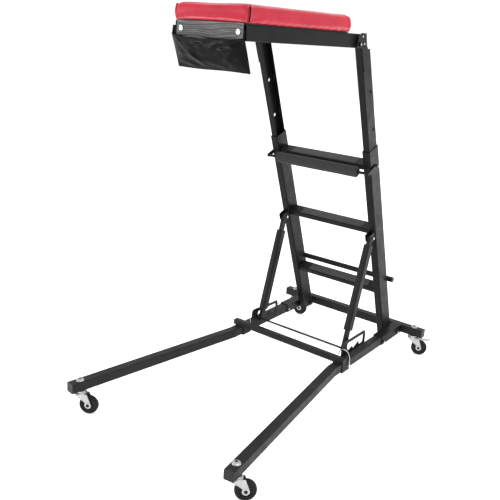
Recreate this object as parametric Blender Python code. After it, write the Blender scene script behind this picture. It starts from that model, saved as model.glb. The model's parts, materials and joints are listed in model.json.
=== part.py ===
"""Topside mechanics creeper: a rolling base, a leaning ladder and a padded deck.

Everything is modelled in the creeper's own frame: X runs along the ladder steps, +Y
points away from the long front legs, Z is up and the floor is Z = 0. The rear cross
tube lies on Y = 0 there. One empty shifts the whole object so that the origin ends up
under the middle of its box. Lengths are in metres.
"""
import bpy
import bmesh
from math import atan2, cos, hypot, pi, radians, sin, tan
from mathutils import Matrix, Vector

MM = 0.001
GAP = 0.3 * MM                     # clearance between neighbouring solids

ORIGIN_SHIFT = Vector((-17.0, 735.0, 0.0)) * MM

# Base frame
TUBE = 40 * MM                     # side of the square base tubes
TUBE_WALL = 3 * MM
TUBE_CORNER = 4 * MM
TUBE_BOTTOM = 97 * MM
TUBE_MID = TUBE_BOTTOM + TUBE / 2
TUBE_TOP = TUBE_BOTTOM + TUBE
REAR_HALF = 397 * MM
BASE_RAIL_X = 270 * MM
BASE_RAIL_FRONT = -548 * MM
CROSS_TUBE_Y = -599 * MM
CROSS_TUBE_HALF = 299 * MM
CROSS_TUBE_DEPTH = 30 * MM
CROSS_TUBE_HEIGHT = 25 * MM
SHOE_WALL = 3 * MM
SHOE_BOLT = (-215 * MM, 112 * MM)  # Y and Z of the bolt that clamps the shoe

# Front legs: a straight tail lies in a socket and the leg splays in front of it
LEG_END = Vector((394 * MM, -1495 * MM))
LEG_BEND = Vector((270 * MM, -655 * MM))
SOCKET_WALL = 3.5 * MM
LEG_PIN_Y = -557 * MM
LEG_PIN_RADIUS = 4 * MM
BAIL_HEIGHT = 55 * MM
BAIL_WIRE = 1.8 * MM                # radius
BAIL_EYE = 3.5 * MM

# Casters
WHEEL_RADIUS = 38 * MM
WHEEL_HALF = 11 * MM
HUB_HALF = 12.3 * MM
CASTER_TRAIL = 36 * MM
CASTER_YAWS = {"front_left": 26, "front_right": 42, "rear_left": 6, "rear_right": 15}
AXLE_RADIUS = 4 * MM
REAR_CASTER_X = 351 * MM
LEG_CASTER_INSET = 42 * MM

# Ladder
LEAN = radians(22.4)
PIVOT = Vector((0, -66, 115)) * MM
RAIL_AXIS = Vector((0, -102, 162)) * MM    # point on the rails' centre line, level 0
LADDER_X = 228.9 * MM
RAIL_WIDTH = 35 * MM
RAIL_DEPTH = 75 * MM
RAIL_BORE_WIDTH = 29.6 * MM
RAIL_BORE_DEPTH = 66.6 * MM
RAIL_FOOT_Z = 101 * MM             # height of the sawn foot above the floor
RAIL_TOP = 954 * MM                # levels on the ladder are measured along its rails
PIVOT_RADIUS = 6 * MM
STEP_LEVELS = (221 * MM, 561 * MM, 886 * MM)
STEP_DEPTH = 57 * MM
STEP_THICK = 22 * MM
REAR_BAR_LEVEL = 236 * MM
REAR_BAR_RADIUS = 12.5 * MM
REAR_BAR_HALF = 268 * MM
SHIN_LEVEL = 873 * MM
SHIN_OFFSET = -65.5 * MM
SHIN_BAR_RADIUS = 6 * MM
FOAM_RADIUS = 24 * MM
FOAM_HALF = 200 * MM

# Struts and the racks that hold their feet
STRUT_TOP = Vector((0, -360, 641)) * MM
STRUT_FOOT = Vector((0, -490, 150)) * MM
STRUT_BAR_WIDTH = 27 * MM
STRUT_BAR_THICK = 14 * MM
SLEEVE_SIZE = (30 * MM, 42 * MM)
STRUT_PIN_RADIUS = 5 * MM
ROD_RADIUS = 4.5 * MM
SLEEVE_LENGTH = 388 * MM
SLEEVE_TOPS = {"left": 68 * MM, "right": 32 * MM}
RACK_X = BASE_RAIL_X - TUBE / 2 - 2.3 * MM
RACK_THICK = 4 * MM

# Uprights and deck
UPRIGHT_WIDTH = 29 * MM
UPRIGHT_DEPTH = 66 * MM
UPRIGHT_FOOT = 574 * MM
UPRIGHT_TOP = 1369 * MM
HOLE_LEVELS = (1036 * MM, 1198 * MM)
HOLE_RADIUS = 7 * MM
HOLE_BACK = 11 * MM                # holes sit behind the middle of the web
HINGE = Vector((0, -680, 1444)) * MM
DECK_PIVOT_RADIUS = 5 * MM
DECK_FRONT = -1230 * MM
DECK_RAIL_WIDTH = 22 * MM
DECK_RAIL_HEIGHT = 50 * MM
DECK_RAIL_Z = 1455 * MM
DECK_TAPER = 0.158                 # sideways run of a side rail per metre of length
DECK_RAIL_X = 226 * MM             # centre of a side rail at the hinge
DECK_RAIL_TAIL = 34 * MM           # length of a side rail behind the hinge
PAD_BACK = -733 * MM
PAD_FRONT_HALF = 150 * MM
PAD_BACK_HALF = 224 * MM
PAD_BOTTOM = 1483 * MM
PAD_TOP = 1540 * MM
POUCH_HALF = 152 * MM
POUCH_SHIFT = -5 * MM

SIDES = {"left": -1, "right": 1}


def clear_scene():
    for obj in list(bpy.data.objects):
        bpy.data.objects.remove(obj, do_unlink=True)


# ---------------------------------------------------------------- materials

def material(name, colour, roughness, metallic=0.0):
    mat = bpy.data.materials.new(name)
    mat.use_nodes = True
    shader = mat.node_tree.nodes["Principled BSDF"]
    shader.inputs["Base Color"].default_value = (*colour, 1.0)
    shader.inputs["Roughness"].default_value = roughness
    shader.inputs["Metallic"].default_value = metallic
    return mat


# ---------------------------------------------------------------- outlines

def rounded_rect(width, depth, radius, steps=2):
    """Corner points of a rounded rectangle, counter-clockwise."""
    points = []
    for turn, (sx, sy) in enumerate(((1, -1), (1, 1), (-1, 1), (-1, -1))):
        cx = sx * (width / 2 - radius)
        cy = sy * (depth / 2 - radius)
        for k in range(steps + 1):
            angle = (turn - 1) * pi / 2 + k * pi / 2 / steps
            points.append((cx + radius * cos(angle), cy + radius * sin(angle)))
    return points


def circle(radius, steps, centre=(0.0, 0.0)):
    angles = [2 * pi * k / steps for k in range(steps)]
    return [(centre[0] + radius * cos(a), centre[1] + radius * sin(a)) for a in angles]


def arc(centre, radius, start, end, steps):
    """Points on an arc; the angles are in degrees."""
    angles = [radians(start + (end - start) * k / steps) for k in range(steps + 1)]
    return [(centre[0] + radius * cos(a), centre[1] + radius * sin(a)) for a in angles]


# ---------------------------------------------------------------- mesh builders

def new_object(name, bm, mat, parent=None, smooth=False):
    bmesh.ops.recalc_face_normals(bm, faces=bm.faces)
    mesh = bpy.data.meshes.new(name)
    bm.to_mesh(mesh)
    bm.free()
    if smooth:
        mesh.shade_smooth()
        mesh.set_sharp_from_angle(angle=radians(35))
    mesh.materials.append(mat)
    obj = bpy.data.objects.new(name, mesh)
    bpy.context.collection.objects.link(obj)
    obj.parent = parent
    return obj


def prism(outline, low, high):
    """Solid between two levels of Z."""
    bm = bmesh.new()
    bottom = [bm.verts.new((x, y, low)) for x, y in outline]
    top = [bm.verts.new((x, y, high)) for x, y in outline]
    bm.faces.new(bottom)
    bm.faces.new(top)
    for i in range(len(outline)):
        j = (i + 1) % len(outline)
        bm.faces.new((bottom[i], bottom[j], top[j], top[i]))
    return bm


def ring_prism(outer, inner, low, high):
    """Open tube between two levels of Z; both outlines have the same number of points."""
    bm = bmesh.new()
    loops = []
    for outline, level in ((outer, low), (outer, high), (inner, high), (inner, low)):
        loops.append([bm.verts.new((x, y, level)) for x, y in outline])
    count = len(outer)
    for a, b in ((0, 1), (1, 2), (2, 3), (3, 0)):
        for i in range(count):
            j = (i + 1) % count
            bm.faces.new((loops[a][i], loops[a][j], loops[b][j], loops[b][i]))
    return bm


def square_tube(width, depth, wall, corner, low, high):
    outer = rounded_rect(width, depth, corner)
    inner = rounded_rect(width - 2 * wall, depth - 2 * wall, max(corner - wall, 1 * MM))
    return ring_prism(outer, inner, low, high)


def lathe(profile, steps):
    """Solid turned about Z; the profile runs from the axis at the bottom to the top."""
    bm = bmesh.new()
    rings = []
    for radius, level in profile:
        if radius == 0:
            rings.append([bm.verts.new((0, 0, level))])
        else:
            rings.append([bm.verts.new((x, y, level)) for x, y in circle(radius, steps)])
    for low, high in zip(rings, rings[1:]):
        for i in range(steps):
            j = (i + 1) % steps
            if len(low) == 1:
                bm.faces.new((low[0], high[j], high[i]))
            elif len(high) == 1:
                bm.faces.new((low[i], low[j], high[0]))
            else:
                bm.faces.new((low[i], low[j], high[j], high[i]))
    return bm


def turn(bm, axis, angle):
    bmesh.ops.transform(bm, matrix=Matrix.Rotation(angle, 4, axis), verts=bm.verts)
    return bm


def move(bm, x=0.0, y=0.0, z=0.0):
    bmesh.ops.translate(bm, vec=(x, y, z), verts=bm.verts)
    return bm


def lay_along_x(bm):
    """Turn a shape built along Z so that it runs along X."""
    return turn(bm, "Y", pi / 2)


def side_plate(outline, low_x, high_x):
    """Plate whose outline is given in (Y, Z) and whose thickness runs along X."""
    bm = prism(outline, low_x, high_x)
    swap = Matrix(((0, 0, 1, 0), (1, 0, 0, 0), (0, 1, 0, 0), (0, 0, 0, 1)))
    bmesh.ops.transform(bm, matrix=swap, verts=bm.verts)
    return bm


def combine(obj, shapes, operation="UNION"):
    """Join shapes to an object, or cut them from it, and keep one clean mesh."""
    for bm in shapes:
        tool = new_object("tool", bm, obj.data.materials[0], parent=obj.parent)
        tool.matrix_parent_inverse = obj.matrix_parent_inverse
        tool.location = obj.location
        tool.rotation_euler = obj.rotation_euler
        modifier = obj.modifiers.new("combine", "BOOLEAN")
        modifier.operation = operation
        modifier.solver = "EXACT"
        modifier.object = tool
        bpy.context.view_layer.update()
        graph = bpy.context.evaluated_depsgraph_get()
        mesh = bpy.data.meshes.new_from_object(obj.evaluated_get(graph))
        obj.modifiers.clear()
        old = obj.data
        obj.data = mesh
        mesh.name = old.name
        bpy.data.meshes.remove(old)
        bpy.data.objects.remove(tool, do_unlink=True)
    return obj


def cylinder_x(radius, low, high, steps=16, y=0.0, z=0.0):
    bm = lay_along_x(prism(circle(radius, steps), low, high))
    return move(bm, y=y, z=z)


def empty(name, location=(0, 0, 0), rotation=(0, 0, 0), parent=None):
    obj = bpy.data.objects.new(name, None)
    bpy.context.collection.objects.link(obj)
    obj.location = location
    obj.rotation_euler = rotation
    obj.parent = parent
    return obj


# ---------------------------------------------------------------- base frame

def build_base(root, mats):
    steel = mats["steel"]
    plastic = mats["plastic"]

    tube = square_tube(TUBE, TUBE, TUBE_WALL, TUBE_CORNER, -REAR_HALF, REAR_HALF)
    rear = new_object("rear_cross_tube", lay_along_x(tube), steel, root, smooth=True)
    rear.location.z = TUBE_MID
    holes = [prism(circle(6 * MM + GAP, 16, (s * REAR_CASTER_X, 0)), -TUBE, TUBE)
             for s in SIDES.values()]
    combine(rear, holes, "DIFFERENCE")

    for side, s in SIDES.items():
        cap = end_cap(f"rear_tube_cap_{side}", plastic, root)
        cap.location = (s * (REAR_HALF + GAP), 0, TUBE_MID)
        cap.rotation_euler.z = pi / 2 if s > 0 else -pi / 2

        back = -TUBE / 2 - GAP
        tube = square_tube(TUBE, TUBE, TUBE_WALL, TUBE_CORNER, 0, back - BASE_RAIL_FRONT)
        rail = new_object(f"base_rail_{side}", turn(tube, "X", pi / 2), steel, root, smooth=True)
        rail.location = (s * BASE_RAIL_X, back, TUBE_MID)
        holes = [cylinder_x(PIVOT_RADIUS + GAP, -TUBE, TUBE, 16, PIVOT.y - back, PIVOT.z - TUBE_MID),
                 cylinder_x(PIVOT_RADIUS + GAP, -TUBE, TUBE, 16, SHOE_BOLT[0] - back,
                            SHOE_BOLT[1] - TUBE_MID)]
        combine(rail, holes, "DIFFERENCE")

        build_shoe(side, s, root, steel)
        build_rack(side, s, root, steel)
        build_leg(side, s, root, mats)

    depth, height = CROSS_TUBE_DEPTH, CROSS_TUBE_HEIGHT
    outline = rounded_rect(height, depth, 4 * MM)
    bm = lay_along_x(prism(outline, -CROSS_TUBE_HALF, CROSS_TUBE_HALF))
    cross = new_object("front_cross_tube", bm, steel, root, smooth=True)
    cross.location = (0, CROSS_TUBE_Y, TUBE_TOP + GAP + height / 2)


def end_cap(name, mat, parent):
    """Push-in plug: a flange at -Y and a ribbed body that fills the tube's bore."""
    flange = prism(rounded_rect(TUBE, TUBE, TUBE_CORNER), 0, 3 * MM)
    cap = new_object(name, turn(flange, "X", pi / 2), mat, parent, smooth=True)
    bore = TUBE - 2 * TUBE_WALL - 2 * GAP
    plug = turn(prism(rounded_rect(bore, bore, 1.5 * MM), -18 * MM, 1 * MM), "X", pi / 2)
    return combine(cap, [plug])


def build_shoe(side, s, root, steel):
    """Inverted channel over the base rail, with its clamp bolt and the ladder's pivot bolt."""
    inner = TUBE / 2 + GAP
    outer = inner + SHOE_WALL
    roof = TUBE_TOP + GAP
    low = TUBE_BOTTOM + 2 * MM
    channel = [(-outer, low), (-inner, low), (-inner, roof), (inner, roof), (inner, low),
               (outer, low), (outer, roof + SHOE_WALL), (-outer, roof + SHOE_WALL)]
    front, back = -232 * MM, -23 * MM
    bm = turn(prism(channel, -back, -front), "X", pi / 2)
    shoe = new_object(f"foot_shoe_{side}", bm, steel, root, smooth=True)
    shoe.location.x = s * BASE_RAIL_X

    def pin(radius, start, end, place, steps=16):
        return cylinder_x(radius, *sorted((s * start, s * end)), steps, *place)

    # The pivot bolt runs through the base rail and the ladder rail beside it.
    pivot = (PIVOT.y, PIVOT.z)
    ladder_inner = LADDER_X - RAIL_WIDTH / 2 - BASE_RAIL_X - GAP
    shapes = [pin(PIVOT_RADIUS, ladder_inner - 6 * MM, outer + 1 * MM, pivot),
              pin(10 * MM, ladder_inner - 8 * MM, ladder_inner, pivot, 6),
              pin(9 * MM, outer - 1 * MM, outer + 6 * MM, pivot, 6),
              pin(PIVOT_RADIUS, -outer + 1 * MM, outer + 1 * MM, SHOE_BOLT),
              pin(9 * MM, outer - 1 * MM, outer + 6 * MM, SHOE_BOLT, 6)]
    return combine(shoe, shapes)


def build_rack(side, s, root, steel):
    """Plate on the base rail's inner face: two saw teeth under a bar, with seats for the rod."""
    bar_low = 184 * MM
    outline = [(-540, 103), (-342, 103), (-328, 120), (-328, 180), (-338, 197), (-484, 197),
               (-490, 202), (-530, 202), (-540, 192)]
    outline = [(y * MM, z * MM) for y, z in outline]
    ends = sorted((s * RACK_X - RACK_THICK / 2, s * RACK_X + RACK_THICK / 2))
    rack = new_object(f"angle_rack_{side}", side_plate(outline, *ends), steel, root, smooth=True)

    seat = (STRUT_FOOT.y, STRUT_FOOT.z)
    slot = arc(seat, ROD_RADIUS + GAP, 180, 270, 4)
    slot += [(y * MM, z * MM) for y, z in ((-474, 143), (-444, 152.5), (-439, 140), (-428, 140),
                                           (-388, 158), (-382, 140), (-352, 140), (-344, 148))]
    slot += [(-344 * MM, bar_low - 8 * MM), (-352 * MM, bar_low), (slot[0][0] + 6 * MM, bar_low),
             (slot[0][0], bar_low - 6 * MM)]
    cut = side_plate(slot, ends[0] - RACK_THICK, ends[1] + RACK_THICK)
    return combine(rack, [cut], "DIFFERENCE")


def build_leg(side, s, root, mats):
    run = LEG_END - LEG_BEND
    yaw = atan2(run.x, -run.y)

    # One tube: a straight tail at the back, then a mitred bend into the splayed leg.
    back = BASE_RAIL_FRONT - GAP
    half = TUBE / 2
    outer = rounded_rect(TUBE, TUBE, TUBE_CORNER)
    bore = TUBE - 2 * TUBE_WALL
    inner = rounded_rect(bore, bore, 1 * MM)
    bm = bmesh.new()
    loops = []
    for outline in (outer, inner):
        for place in ("back", "bend", "end"):
            ring = []
            for x, z in outline:
                if place == "back":
                    at = (BASE_RAIL_X + x, back)
                elif place == "bend":
                    at = (LEG_BEND.x + x, LEG_BEND.y + x * tan(yaw / 2))
                else:
                    at = (LEG_END.x + x * cos(yaw), LEG_END.y + x * sin(yaw))
                ring.append(bm.verts.new((s * at[0], at[1], z)))
            loops.append(ring)
    order = (0, 1, 2, 5, 4, 3, 0)
    for low, high in zip(order, order[1:]):
        for i in range(len(outer)):
            j = (i + 1) % len(outer)
            bm.faces.new((loops[low][i], loops[low][j], loops[high][j], loops[high][i]))
    leg = new_object(f"front_leg_{side}", bm, mats["steel"], root, smooth=True)
    leg.location.z = TUBE_MID

    stem = LEG_END - run.normalized() * LEG_CASTER_INSET
    stem_hole = prism(circle(6 * MM + GAP, 16, (s * stem.x, stem.y)), -TUBE, TUBE)
    pin_hole = cylinder_x(LEG_PIN_RADIUS + GAP, -TUBE, TUBE, y=LEG_PIN_Y)
    move(pin_hole, x=s * BASE_RAIL_X)
    combine(leg, [stem_hole, pin_hole], "DIFFERENCE")

    cap = end_cap(f"leg_end_cap_{side}", mats["plastic"], root)
    cap.location = (s * (LEG_END.x + GAP * sin(yaw)), LEG_END.y - GAP * cos(yaw), TUBE_MID)
    cap.rotation_euler.z = s * yaw

    build_socket(side, s, root, mats["steel"])
    build_leg_pin(side, s, root, mats["zinc"])


def build_socket(side, s, root, steel):
    """Channel that holds the leg's tail, under the end of the cross tube."""
    inner = TUBE / 2 + GAP
    outer = inner + SOCKET_WALL
    low = TUBE_BOTTOM - GAP - SOCKET_WALL
    top = TUBE_TOP - 1 * MM
    channel = [(-outer, low), (outer, low), (outer, top), (inner, top),
               (inner, low + SOCKET_WALL), (-inner, low + SOCKET_WALL), (-inner, top), (-outer, top)]
    front, back = -602 * MM, -543 * MM
    bm = turn(prism(channel, -back, -front), "X", pi / 2)
    socket = new_object(f"leg_socket_{side}", bm, steel, root, smooth=True)
    socket.location.x = s * BASE_RAIL_X
    hole = cylinder_x(LEG_PIN_RADIUS + GAP, -TUBE, TUBE, y=LEG_PIN_Y, z=TUBE_MID)
    combine(socket, [hole], "DIFFERENCE")


def build_leg_pin(side, s, root, zinc):
    """Lock pin across the socket, and the sprung bail that hinges on the pin's head."""
    outer = TUBE / 2 + 2 * GAP + SOCKET_WALL
    reach = outer + 5 * MM
    shank = cylinder_x(LEG_PIN_RADIUS, *sorted((-s * reach, s * reach)), steps=12)
    pin = new_object(f"leg_pin_{side}", shank, zinc, root, smooth=True)
    pin.location = (s * BASE_RAIL_X, LEG_PIN_Y, TUBE_MID)
    head = cylinder_x(6.5 * MM, *sorted((s * outer, s * (reach + 3 * MM))), steps=12)
    combine(pin, [head])

    lift = 6.5 * MM + BAIL_EYE + GAP
    place = (s * (BASE_RAIL_X + reach), LEG_PIN_Y, TUBE_MID + lift)
    hinge = empty(f"leg_pin_bail_axis_{side}", place, parent=root)
    wire = new_object(f"leg_pin_bail_{side}", bail_wire(s, reach), zinc, hinge, smooth=True)
    eye = turn(cylinder_x(BAIL_EYE, -3 * MM, 3 * MM, steps=10), "Z", pi / 2)
    combine(wire, [eye])


def bail_wire(s, reach):
    """Wire from the hinge on the pin's head, over the socket, down past the pin's tip."""
    spring_line = 16 * MM
    path = [(0, 0)]
    for k in range(9):
        angle = pi * k / 8
        rise = (BAIL_HEIGHT - spring_line) * sin(angle)
        path.append((s * reach * (cos(angle) - 1), spring_line + rise))
    path.append((-s * (2 * reach + 2.5 * MM), -8 * MM))
    bm = bmesh.new()
    rings = []
    for i, (x, z) in enumerate(path):
        before = Vector(path[max(i - 1, 0)])
        after = Vector(path[min(i + 1, len(path) - 1)])
        direction = (after - before).normalized()
        normal = Vector((-direction.y, direction.x))
        ring = []
        for k in range(6):
            a = 2 * pi * k / 6
            across = BAIL_WIRE * cos(a) * normal
            ring.append(bm.verts.new((x + across.x, BAIL_WIRE * sin(a), z + across.y)))
        rings.append(ring)
    for low, high in zip(rings, rings[1:]):
        for k in range(6):
            j = (k + 1) % 6
            bm.faces.new((low[k], low[j], high[j], high[k]))
    bm.faces.new(rings[0])
    bm.faces.new(rings[-1])
    bmesh.ops.recalc_face_normals(bm, faces=bm.faces)
    return bm


# ---------------------------------------------------------------- casters

def caster_places():
    """Stem position of each caster in plan."""
    run = (LEG_END - LEG_BEND).normalized()
    stem = LEG_END - LEG_CASTER_INSET * run
    return {"front_left": (-stem.x, stem.y), "front_right": (stem.x, stem.y),
            "rear_left": (-REAR_CASTER_X, 0.0), "rear_right": (REAR_CASTER_X, 0.0)}


def build_casters(root, mats):
    top = TUBE_TOP + GAP
    mount_profile = [(0, 0.080), (0.008, 0.080), (0.008, 0.0837), (0.005, 0.0837),
                     (0.005, 0.091), (0.022, 0.091), (0.022, TUBE_BOTTOM - GAP),
                     (0.006, TUBE_BOTTOM - GAP), (0.006, top), (0.016, top),
                     (0.015, top + 0.003), (0.007, top + 0.0055), (0, top + 0.006)]
    rim = 10 * MM
    wheel_profile = [(AXLE_RADIUS + GAP, -HUB_HALF), (0.013, -HUB_HALF), (0.015, -0.008),
                     (0.030, -0.008), (0.033, -WHEEL_HALF), (WHEEL_RADIUS - 0.0015, -rim),
                     (WHEEL_RADIUS, -0.006)]
    wheel_profile += [(r, -z) for r, z in reversed(wheel_profile)]

    for name, (x, y) in caster_places().items():
        swivel = empty(f"caster_{name}_swivel", (x, y, 0), (0, 0, radians(CASTER_YAWS[name])), root)
        new_object(f"caster_mount_{name}", lathe(mount_profile, 16), mats["zinc"], swivel, smooth=True)
        build_fork(name, swivel, mats["zinc"])
        axle = empty(f"caster_{name}_axle", (CASTER_TRAIL, 0, WHEEL_RADIUS), (pi / 2, 0, 0), swivel)
        wheel = turned_ring(wheel_profile, 24)
        new_object(f"caster_wheel_{name}", wheel, mats["rubber"], axle, smooth=True)
        if name.startswith("rear"):
            build_pedal(name, swivel, mats["zinc"])


def turned_ring(profile, steps):
    """Ring turned about Z from a closed profile that never touches the axis."""
    bm = bmesh.new()
    rings = [[bm.verts.new((x, y, z)) for x, y in circle(r, steps)] for r, z in profile]
    for low, high in zip(rings, rings[1:] + rings[:1]):
        for i in range(steps):
            j = (i + 1) % steps
            bm.faces.new((low[i], low[j], high[j], high[i]))
    return bm


def build_fork(name, swivel, zinc):
    """Stamped fork: a crown disc, two tapered cheeks and the axle bolt."""
    inside, outside = HUB_HALF + GAP, HUB_HALF + GAP + 3 * MM
    crown = [(0.0053, 0.0840), (0.0245, 0.0840), (0.0245, 0.0907), (0.0053, 0.0907)]
    fork = new_object(f"caster_fork_{name}", turned_ring(crown, 20), zinc, swivel, smooth=True)
    tip = arc((CASTER_TRAIL, WHEEL_RADIUS), 13 * MM, -150, 25, 8)
    outline = [(-0.022, 0.0904)] + [(-0.015, 0.074)] + tip + [(0.033, 0.078), (0.031, 0.0904)]
    cheeks = []
    for sign in (-1, 1):
        low, high = sorted((sign * inside, sign * outside))
        cheeks.append(turn(prism(outline, low, high), "X", pi / 2))
    axle = turn(prism(circle(AXLE_RADIUS, 16, (CASTER_TRAIL, WHEEL_RADIUS)), -outside - 0.001,
                      outside + 0.001), "X", pi / 2)
    heads = []
    for sign in (-1, 1):
        low, high = sorted((sign * (outside - 0.001), sign * (outside + 0.0035)))
        heads.append(turn(prism(circle(7 * MM, 6, (CASTER_TRAIL, WHEEL_RADIUS)), low, high), "X", pi / 2))
    combine(fork, cheeks + [axle] + heads)


def build_pedal(name, swivel, zinc):
    """Brake pedal above the tyre: a pressed plate with an upturned toe and its cross pin."""
    pivot = (0.026, 0.081)
    hinge = empty(f"caster_{name}_pedal_axis", (pivot[0], 0, pivot[1]), parent=swivel)
    plate = [(-0.003, -0.0015), (0.049, 0.0005), (0.061, 0.0115), (0.0585, 0.0135),
             (0.047, 0.004), (-0.003, 0.0022)]
    half = 9 * MM
    bm = turn(prism(plate, -half, half), "X", pi / 2)
    pedal = new_object(f"brake_pedal_{name}", bm, zinc, hinge, smooth=True)
    pin = turn(prism(circle(2.4 * MM, 10), -HUB_HALF, HUB_HALF), "X", pi / 2)
    combine(pedal, [pin])


# ---------------------------------------------------------------- ladder

def in_ladder(point):
    """World point in the ladder's own axes: X, front-to-back depth, level along the rail."""
    offset = point - RAIL_AXIS
    return Vector((0, offset.y * cos(LEAN) + offset.z * sin(LEAN),
                   -offset.y * sin(LEAN) + offset.z * cos(LEAN)))


def ladder_axes(name, root):
    """Empty on the tilt axis with a second one on the rails' centre line."""
    pivot = empty(name, PIVOT, (LEAN, 0, 0), root)
    return empty(f"{name}_frame", -in_ladder(PIVOT), parent=pivot)


def build_ladder(root, mats):
    steel = mats["steel"]
    frame = ladder_axes("ladder_pivot", root)
    pivot = in_ladder(PIVOT)

    # The foot is sawn level with the floor.
    outer = rounded_rect(RAIL_WIDTH, RAIL_DEPTH, 4 * MM)
    inner = rounded_rect(RAIL_BORE_WIDTH, RAIL_BORE_DEPTH, 1.5 * MM)
    for side, s in SIDES.items():
        bm = ring_prism(outer, inner, 0, RAIL_TOP)
        for vert in bm.verts:
            if vert.co.z < RAIL_TOP / 2:
                vert.co.z = (RAIL_FOOT_Z - RAIL_AXIS.z - vert.co.y * sin(LEAN)) / cos(LEAN)
        rail = new_object(f"ladder_rail_{side}", bm, steel, frame, smooth=True)
        rail.location.x = s * LADDER_X
        hole = cylinder_x(PIVOT_RADIUS + GAP, -RAIL_WIDTH, RAIL_WIDTH, 16, pivot.y, pivot.z)
        combine(rail, [hole], "DIFFERENCE")
        build_clevis(side, s, frame, steel)

    half = LADDER_X - RAIL_WIDTH / 2 - GAP
    for number, level in enumerate(STEP_LEVELS, start=1):
        tube = square_tube(STEP_THICK, STEP_DEPTH, 2 * MM, 4 * MM, -half, half)
        step = new_object(f"ladder_step_{number}", lay_along_x(tube), steel, frame, smooth=True)
        step.location.z = level - STEP_THICK / 2

    bar = lay_along_x(prism(circle(REAR_BAR_RADIUS, 20), -REAR_BAR_HALF, REAR_BAR_HALF))
    rear = new_object("rear_cross_bar", bar, steel, frame, smooth=True)
    rear.location = (0, RAIL_DEPTH / 2 + REAR_BAR_RADIUS + GAP, REAR_BAR_LEVEL)

    reach = LADDER_X + RAIL_WIDTH / 2 + 5 * MM
    bar = lay_along_x(prism(circle(SHIN_BAR_RADIUS, 16), -reach, reach))
    shin = new_object("shin_bar", bar, steel, frame, smooth=True)
    shin.location = (0, SHIN_OFFSET, SHIN_LEVEL)
    combine(shin, [shape for s in SIDES.values() for shape in shin_hook(s)])

    spin = empty("shin_roll_axis", (0, SHIN_OFFSET, SHIN_LEVEL), (0, pi / 2, 0), frame)
    bore = SHIN_BAR_RADIUS + GAP
    profile = [(bore, -FOAM_HALF), (FOAM_RADIUS - 3 * MM, -FOAM_HALF),
               (FOAM_RADIUS, -FOAM_HALF + 3 * MM), (FOAM_RADIUS, FOAM_HALF - 3 * MM),
               (FOAM_RADIUS - 3 * MM, FOAM_HALF), (bore, FOAM_HALF)]
    new_object("shin_roll", turned_ring(profile, 24), mats["foam"], spin, smooth=True)


def build_clevis(side, s, frame, steel):
    """Bracket on the rail's front face that holds the top of a strut."""
    local = in_ladder(STRUT_TOP)
    face = -RAIL_DEPTH / 2 - GAP
    low, high = local.z - 16 * MM, local.z + 24 * MM
    front = local.y - 22 * MM
    back_plate = [(face - 3 * MM, low), (face, low), (face, high), (face - 3 * MM, high)]
    half = 13 * MM
    bm = side_plate(back_plate, -half, half)
    clevis = new_object(f"strut_clevis_{side}", bm, steel, frame, smooth=True)
    clevis.location.x = s * LADDER_X
    cheek = [(face - 1 * MM, low), (face - 1 * MM, high), (front + 4 * MM, high),
             (front, high - 4 * MM), (front, low + 8 * MM), (front + 8 * MM, low)]
    parts = [side_plate(cheek, -half, -half + 3 * MM), side_plate(cheek, half - 3 * MM, half)]
    bolt = cylinder_x(STRUT_PIN_RADIUS, -half - 1 * MM, half + 1 * MM, 16, local.y, local.z)
    heads = [cylinder_x(8 * MM, half - 1 * MM, half + 5 * MM, 6, local.y, local.z),
             cylinder_x(8 * MM, -half - 5 * MM, -half + 1 * MM, 6, local.y, local.z)]
    combine(clevis, parts + [bolt] + heads)


def shin_hook(s):
    """Flat end of the shin bar, running back along the rail's outer face, and its bolt."""
    face = LADDER_X + RAIL_WIDTH / 2 + GAP
    half = 8 * MM
    bolt_y = -SHIN_OFFSET + 4 * MM
    outline = arc((0, 0), half, 90, 270, 6) + arc((bolt_y, 0), half, -90, 90, 6)
    strap = side_plate(outline, *sorted((s * (face + 2 * MM), s * (face + 8 * MM))))
    bolt = cylinder_x(6 * MM, *sorted((s * face, s * (face + 11 * MM))), 12, bolt_y)
    return [strap, bolt]


# ---------------------------------------------------------------- struts

def build_struts(root, mats):
    run = STRUT_FOOT - STRUT_TOP
    length = hypot(run.y, run.z)
    swing = atan2(run.y, -run.z)
    frame = empty("strut_pivot", STRUT_TOP, (swing, 0, 0), root)
    half_width = STRUT_BAR_WIDTH / 2
    half_thick = STRUT_BAR_THICK / 2

    for side, s in SIDES.items():
        outline = arc((0, -length), half_width, 180, 360, 8) + arc((0, 0), half_width, 0, 180, 8)
        bar = new_object(f"strut_bar_{side}", side_plate(outline, -half_thick, half_thick),
                         mats["steel"], frame, smooth=True)
        bar.location.x = s * LADDER_X
        holes = [cylinder_x(STRUT_PIN_RADIUS + GAP, -0.02, 0.02),
                 cylinder_x(ROD_RADIUS + GAP, -0.02, 0.02, z=-length)]
        combine(bar, holes, "DIFFERENCE")

        top = SLEEVE_TOPS[side]
        outer = rounded_rect(*SLEEVE_SIZE, 8 * MM, 4)
        inner = rounded_rect(STRUT_BAR_THICK + 2 * GAP, STRUT_BAR_WIDTH + 2 * GAP, 0.2 * MM, 4)
        bm = ring_prism(outer, inner, -top - SLEEVE_LENGTH, -top)
        sleeve = new_object(f"strut_sleeve_{side}", bm, mats["steel"], frame, smooth=True)
        sleeve.location.x = s * LADDER_X

    reach = RACK_X + RACK_THICK / 2
    rod = new_object("strut_rod", lay_along_x(prism(circle(ROD_RADIUS, 12), -reach, reach)),
                     mats["steel"], frame, smooth=True)
    rod.location.z = -length


# ---------------------------------------------------------------- uprights and deck

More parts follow.
